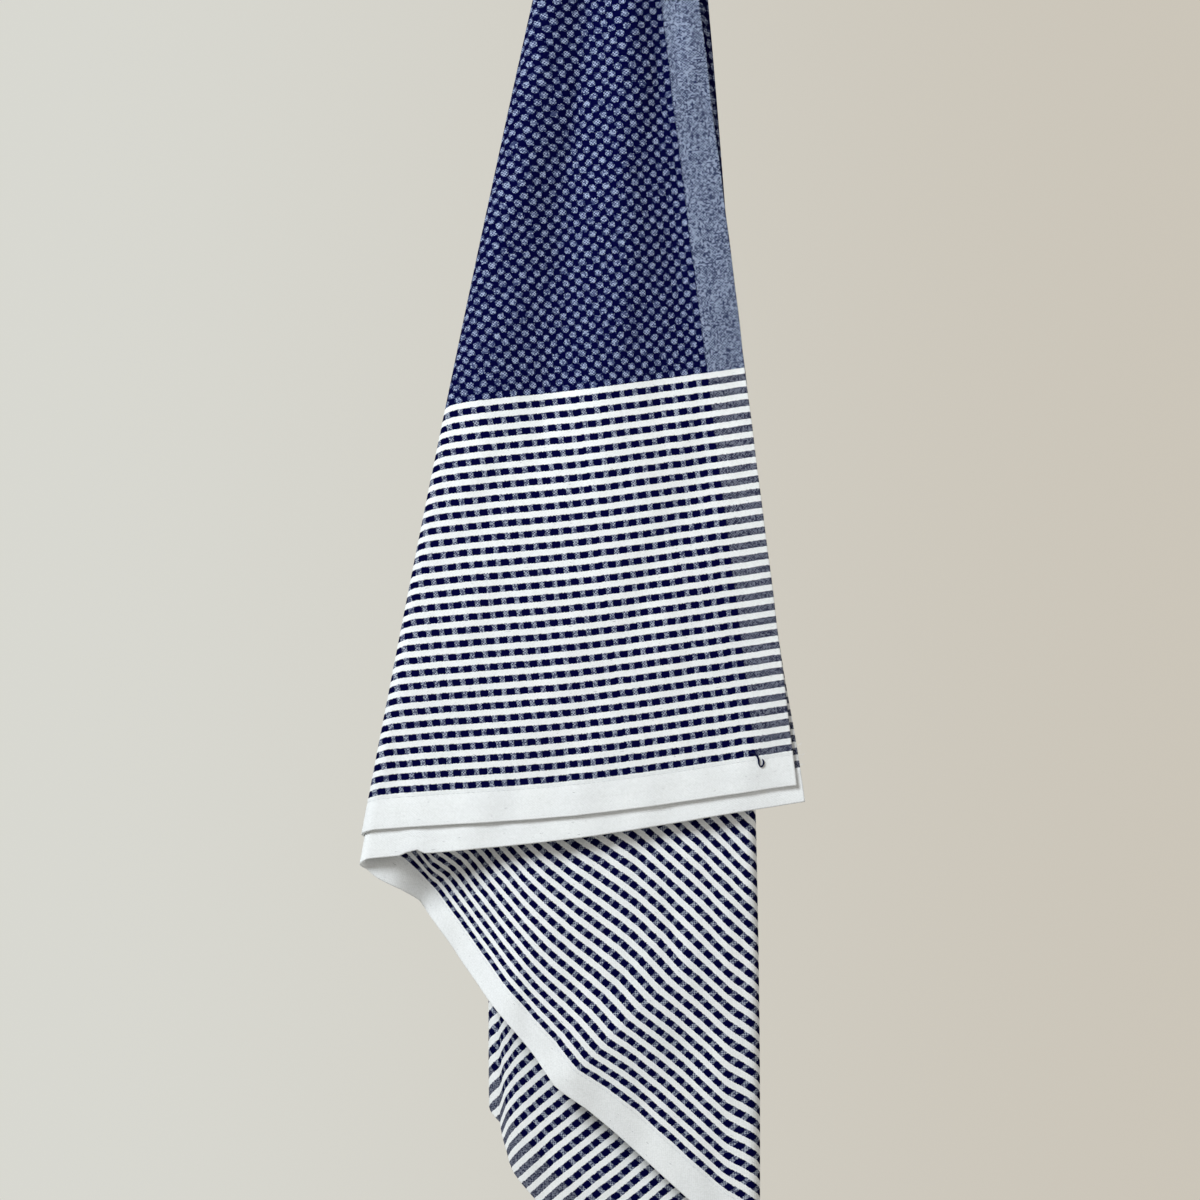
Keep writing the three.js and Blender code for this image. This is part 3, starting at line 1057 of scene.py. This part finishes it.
@dataclass(frozen=True)
class WovenCotton:
    """The cloth's weave: a small check, a striped border at each end, selvedge strips and plain hems.

    Lengths are in millimetres of cloth. In the border, bar is the dash row's share of a row and its white
    stripe, and dash is a dash's share of its pitch. Each edge has two numbers: how far single threads stray
    over it, and how far it fades.
    """

    width: float = 750.0
    half_length: float = 750.0
    thread: float = 0.9
    strip: float = 24.5
    columns: int = 167
    check_row: float = 4.291
    hem: float = 23.0
    row_pitch: float = 8.5
    border_rows: int = 30
    bar: float = 0.53
    dash: float = 0.64
    dash_waist: float = 0.1
    cell_reach: float = 0.505
    jog: float = 0.34
    cell_edge: Pair = (0.3, 0.04)
    strip_edge: Pair = (0.8, 0.25)
    dash_edge: Pair = (0.12, 0.03)
    bar_edge: Pair = (0.03, 0.025)
    zone_edge: Pair = (0.0, 0.2)
    # The speckle: the share of the threads' regular crossing, and where it turns from dark to light
    crossing_share: float = 0.35
    speck_rise: Pair = (0.25, 0.75)
    sparse_rise: Pair = (0.28, 0.85)
    # Slubs: how they stretch across and along, their scale, where they start and are full, and their depth
    slub: tuple[float, ...] = (0.35, 2.2, 0.5, 0.765, 0.8, 0.5)
    # The unevenness of the dye: its scale and detail, and where it starts and is full
    uneven: tuple[float, ...] = (0.03, 4.0, 0.3, 0.75)
    # Relief in millimetres: of the weave, of single threads, of the pale cells and of the white stripes
    relief: tuple[float, ...] = (0.05, 0.05, 0.1, 0.06)
    roughness: Pair = (0.86, 0.1)
    bump: float = 0.6
    navy: Colour = paint(0.0002, 0.0005, 0.032)
    cells: ColourPair = (paint(0.02, 0.03, 0.1), paint(0.35, 0.415, 0.58))
    gaps: ColourPair = (paint(0.03, 0.037, 0.095), paint(0.38, 0.42, 0.5))
    chambray: ColourPair = (paint(0.004, 0.01, 0.055), paint(0.3, 0.357, 0.485))
    bars: ColourPair = (paint(0.01, 0.012, 0.04), paint(0.18, 0.195, 0.25))
    white: Colour = paint(0.86, 0.88, 0.89)
    white_shade: Colour = paint(0.79, 0.81, 0.815)
    dulled: Colour = paint(0.95, 0.95, 0.955)

    def make(self) -> Material:
        """Builds the finish."""
        material, board = new_material("woven cotton")
        across, along, _ = board.parts(board.add("ShaderNodeUVMap", {"uv_map": UV_MAP}).outputs[0])
        across, along = across / MM, along / MM

        # Single threads, and how far each one jogs the edges of the zones
        warp, weft = (across / self.thread).floor(), (along / self.thread).floor()
        fleck = board.speckle(warp, weft)
        stray = fleck - 0.5

        def past(place: Shade, edge_at: float, spread: Pair) -> Shade:
            """1 past an edge and 0 before it, where single threads stray over it and it fades."""
            return (place + stray * spread[0]).rise(edge_at - spread[1], edge_at + spread[1])

        warp_jog = (board.speckle(warp, 7.0) - 0.5) * self.jog
        weft_jog = (board.speckle(3.0, weft) - 0.5) * self.jog
        near = across + weft_jog
        near = near.least(self.width - near)
        edge = self.half_length - abs(along - self.half_length) + warp_jog

        cell = (self.width - 2 * self.strip) / self.columns
        border_top = self.hem + self.border_rows * self.row_pitch
        column = (near - self.strip) / cell
        line = (edge - border_top) / self.check_row
        one_way, other_way = (column + line) / 2.0, (column - line) / 2.0
        one_way, other_way = (one_way + 0.5).part() - 0.5, other_way.part() - 0.5
        from_cell = (abs(one_way + other_way) ** 3.0 + abs(one_way - other_way) ** 3.0) ** (1 / 3)
        navy_check = past(from_cell, self.cell_reach, self.cell_edge)
        crossing = ((warp + weft) / 2.0).part() * 2.0
        mottle = crossing * self.crossing_share + fleck * (1.0 - self.crossing_share)
        speck, sparse = mottle.rise(*self.speck_rise), mottle.rise(*self.sparse_rise)
        pale = board.blend(sparse, *self.cells)
        body = board.blend(navy_check, pale, self.navy)

        # The chambray strips along the selvedges
        grey = board.blend(speck, *self.chambray)
        strip = past(near, self.strip, self.strip_edge)
        body = board.blend(strip, grey, body)

        # The dash rows and white stripes of the border
        row = ((edge - self.hem) / self.row_pitch).part()
        from_middle = abs(row / self.bar - 0.5) * 2.0
        from_dash = abs(((column - 0.5) / 2.0 + 0.5).part() - 0.5) * 2.0
        half = self.dash - self.dash_waist * from_middle**2
        dash = past(half - from_dash, 0.0, self.dash_edge)
        gap = board.blend(sparse, *self.gaps)
        dashes = board.blend(dash, gap, self.navy)
        bars = board.blend(speck, *self.bars)
        dashes = board.blend(strip, bars, dashes)
        in_bar = 1.0 - past(row, self.bar, self.bar_edge)
        white = board.blend(speck, self.white_shade, self.white)
        border = board.blend(in_bar, white, dashes)

        # The zones from the body down to the hem
        in_body = past(edge, border_top, self.zone_edge)
        in_hem = 1.0 - past(edge, self.hem, self.zone_edge)
        colour = board.blend(in_body, border, body)
        colour = board.blend(in_hem, colour, white)

        # Slubs, and the slight unevenness of the dyeing
        wide, long, scale, start, full, depth = self.slub
        slub = board.noise(across * wide, along * long, scale).rise(start, full)
        colour = board.blend(slub * depth, colour, self.navy)
        scale, detail, start, full = self.uneven
        uneven = board.noise(across, along, scale, detail).rise(start, full)
        colour = board.blend(1.0 - uneven, colour, self.dulled, "MULTIPLY")

        # Threads that rise and dip, with the pale cells a little puffed
        weave = (across / self.thread).wave() * (along / self.thread).wave()
        woven, single, cells, stripes = self.relief
        height = weave * woven + fleck * single
        height = height + (1.0 - navy_check) * in_body * cells + (1.0 - in_bar) * stripes
        smoothest, spread_out = self.roughness
        board.finish(colour, smoothest + fleck * spread_out, height, bump=self.bump)
        return material


@dataclass(frozen=True)
class SpunThread:
    """A twisted cotton thread."""

    name: str
    colour: Colour
    shadow: Colour
    twist: float = 2600.0
    fuzz_scale: float = 1800.0

    def make(self) -> Material:
        """Builds the finish."""
        material, board = new_material(self.name)
        x, _, z = board.place("Object")
        fibres = ((x + z) * self.twist).wave()
        fuzz = board.noise(x, z, self.fuzz_scale)
        colour = board.blend((fibres * 0.25 + fuzz).rise(0.2, 0.8), self.shadow, self.colour)
        board.finish(colour, 0.8 + fuzz * 0.15, fibres * 0.06 + fuzz * 0.04)
        return material


@dataclass(frozen=True)
class Studio:
    """The camera, the soft light and the plain floor."""

    frame_width: float = 0.786
    centre: Pair = (-0.0262, -0.6059)
    scale_plane: float = -0.02
    distance: float = 2.6
    sensor: float = 36.0
    floor_drop: float = 0.8
    floor_size: float = 1.1
    floor_roughness: float = 0.9
    floor_shine: float = 0.2
    floor_colour: Colour = paint(0.72, 0.71, 0.68)
    # The light all round: on the left and right behind the towel, and in front of it
    backdrop: ColourPair = (paint(0.69, 0.69, 0.64), paint(0.6, 0.56, 0.485))
    before: Colour = paint(0.2, 0.19, 0.17)
    # Between which directions the light changes from left to right, and from before to behind
    change_across: Pair = (-0.16, 0.16)
    change_behind: Pair = (-0.1, 0.6)
    # name, place, aim, size, power, colour
    lights: tuple[tuple[str, tuple, tuple, float, float, tuple], ...] = (
        ("key", (-1.35, -1.65, 0.85), (0.0, 0.0, -0.6), 1.1, 75.0, (0.93, 0.975, 1.0)),
        ("fill", (1.2, -1.6, -0.3), (0.0, 0.0, -0.6), 1.4, 8.0, (1.0, 0.97, 0.94)),
        ("back", (0.6, 1.7, 0.2), (0.0, 0.0, -0.6), 1.4, 12.0, (1.0, 1.0, 1.0)),
    )

    def make_camera(self) -> Object:
        """Sets up the camera, level with the middle of the picture."""
        data = bpy.data.cameras.new("camera")
        data.sensor_width = self.sensor
        data.lens = self.sensor * self.distance / self.frame_width
        camera = new_object("camera", data)
        camera.location = (self.centre[0], self.scale_plane - self.distance, self.centre[1])
        camera.rotation_euler = (math.pi / 2, 0.0, 0.0)
        bpy.context.scene.camera = camera
        return camera

    def make_lights(self) -> None:
        """Sets up the lights and the even light all round."""
        for name, place, aim, size, power, colour in self.lights:
            data = bpy.data.lights.new(name, "AREA")
            data.shape, data.size, data.energy, data.color = "DISK", size, power, colour
            light = new_object(name, data)
            light.location = place
            light.rotation_euler = (Vector(aim) - Vector(place)).to_track_quat("-Z", "Y").to_euler()
        bpy.context.scene.view_settings.view_transform = "Standard"
        world = bpy.data.worlds.new("studio")
        bpy.context.scene.world = world
        world.use_nodes = True
        world.node_tree.nodes.clear()
        board = NodeBoard(world.node_tree)
        x, y, _ = board.place("Generated")
        behind = board.blend(x.rise(*self.change_across), *self.backdrop)
        colour = board.blend(y.rise(*self.change_behind), self.before, behind)
        background = board.add("ShaderNodeBackground", None, {"Color": colour})
        board.add("ShaderNodeOutputWorld", None, {"Surface": background.outputs[0]})

    def make_floor(self, lowest: float) -> Object:
        """Lays the floor below the towel's lowest point."""
        bm = bmesh.new()
        bmesh.ops.create_circle(bm, cap_ends=True, segments=96, radius=self.floor_size)
        bmesh.ops.translate(bm, vec=(0.0, 0.0, lowest - self.floor_drop), verts=bm.verts)
        material, board = new_material("floor")
        board.finish(self.floor_colour, self.floor_roughness, specular=self.floor_shine)
        floor = new_solid("floor", bm, material)
        return floor


def main() -> None:
    """Builds the towel and the studio round it."""
    studio = Studio()
    studio.make_camera()
    studio.make_lights()
    studio.make_floor(cad_bounds[0].z)
    log.info("studio is ready")

    cloth = DoubleCloth()
    sheet = TowelSheet(cloth)
    piece = sheet.make(WovenCotton().make())
    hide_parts(NODE)
    sewing = SpunThread("sewing thread", paint(0.84, 0.86, 0.88), paint(0.6, 0.63, 0.67)).make()
    navy = SpunThread("navy thread", paint(0.008, 0.01, 0.06), paint(0.002, 0.003, 0.02)).make()
    stitches = HemStitching(sheet).make(sewing)
    threads = LooseThreads(cloth)
    trim = [stitches, threads.make_tail(navy), threads.make_wisps(sewing)]
    for part in trim:
        log.info("%s: %d faces", part.name, len(part.data.polygons))


if __name__ == "__main__":
    main()
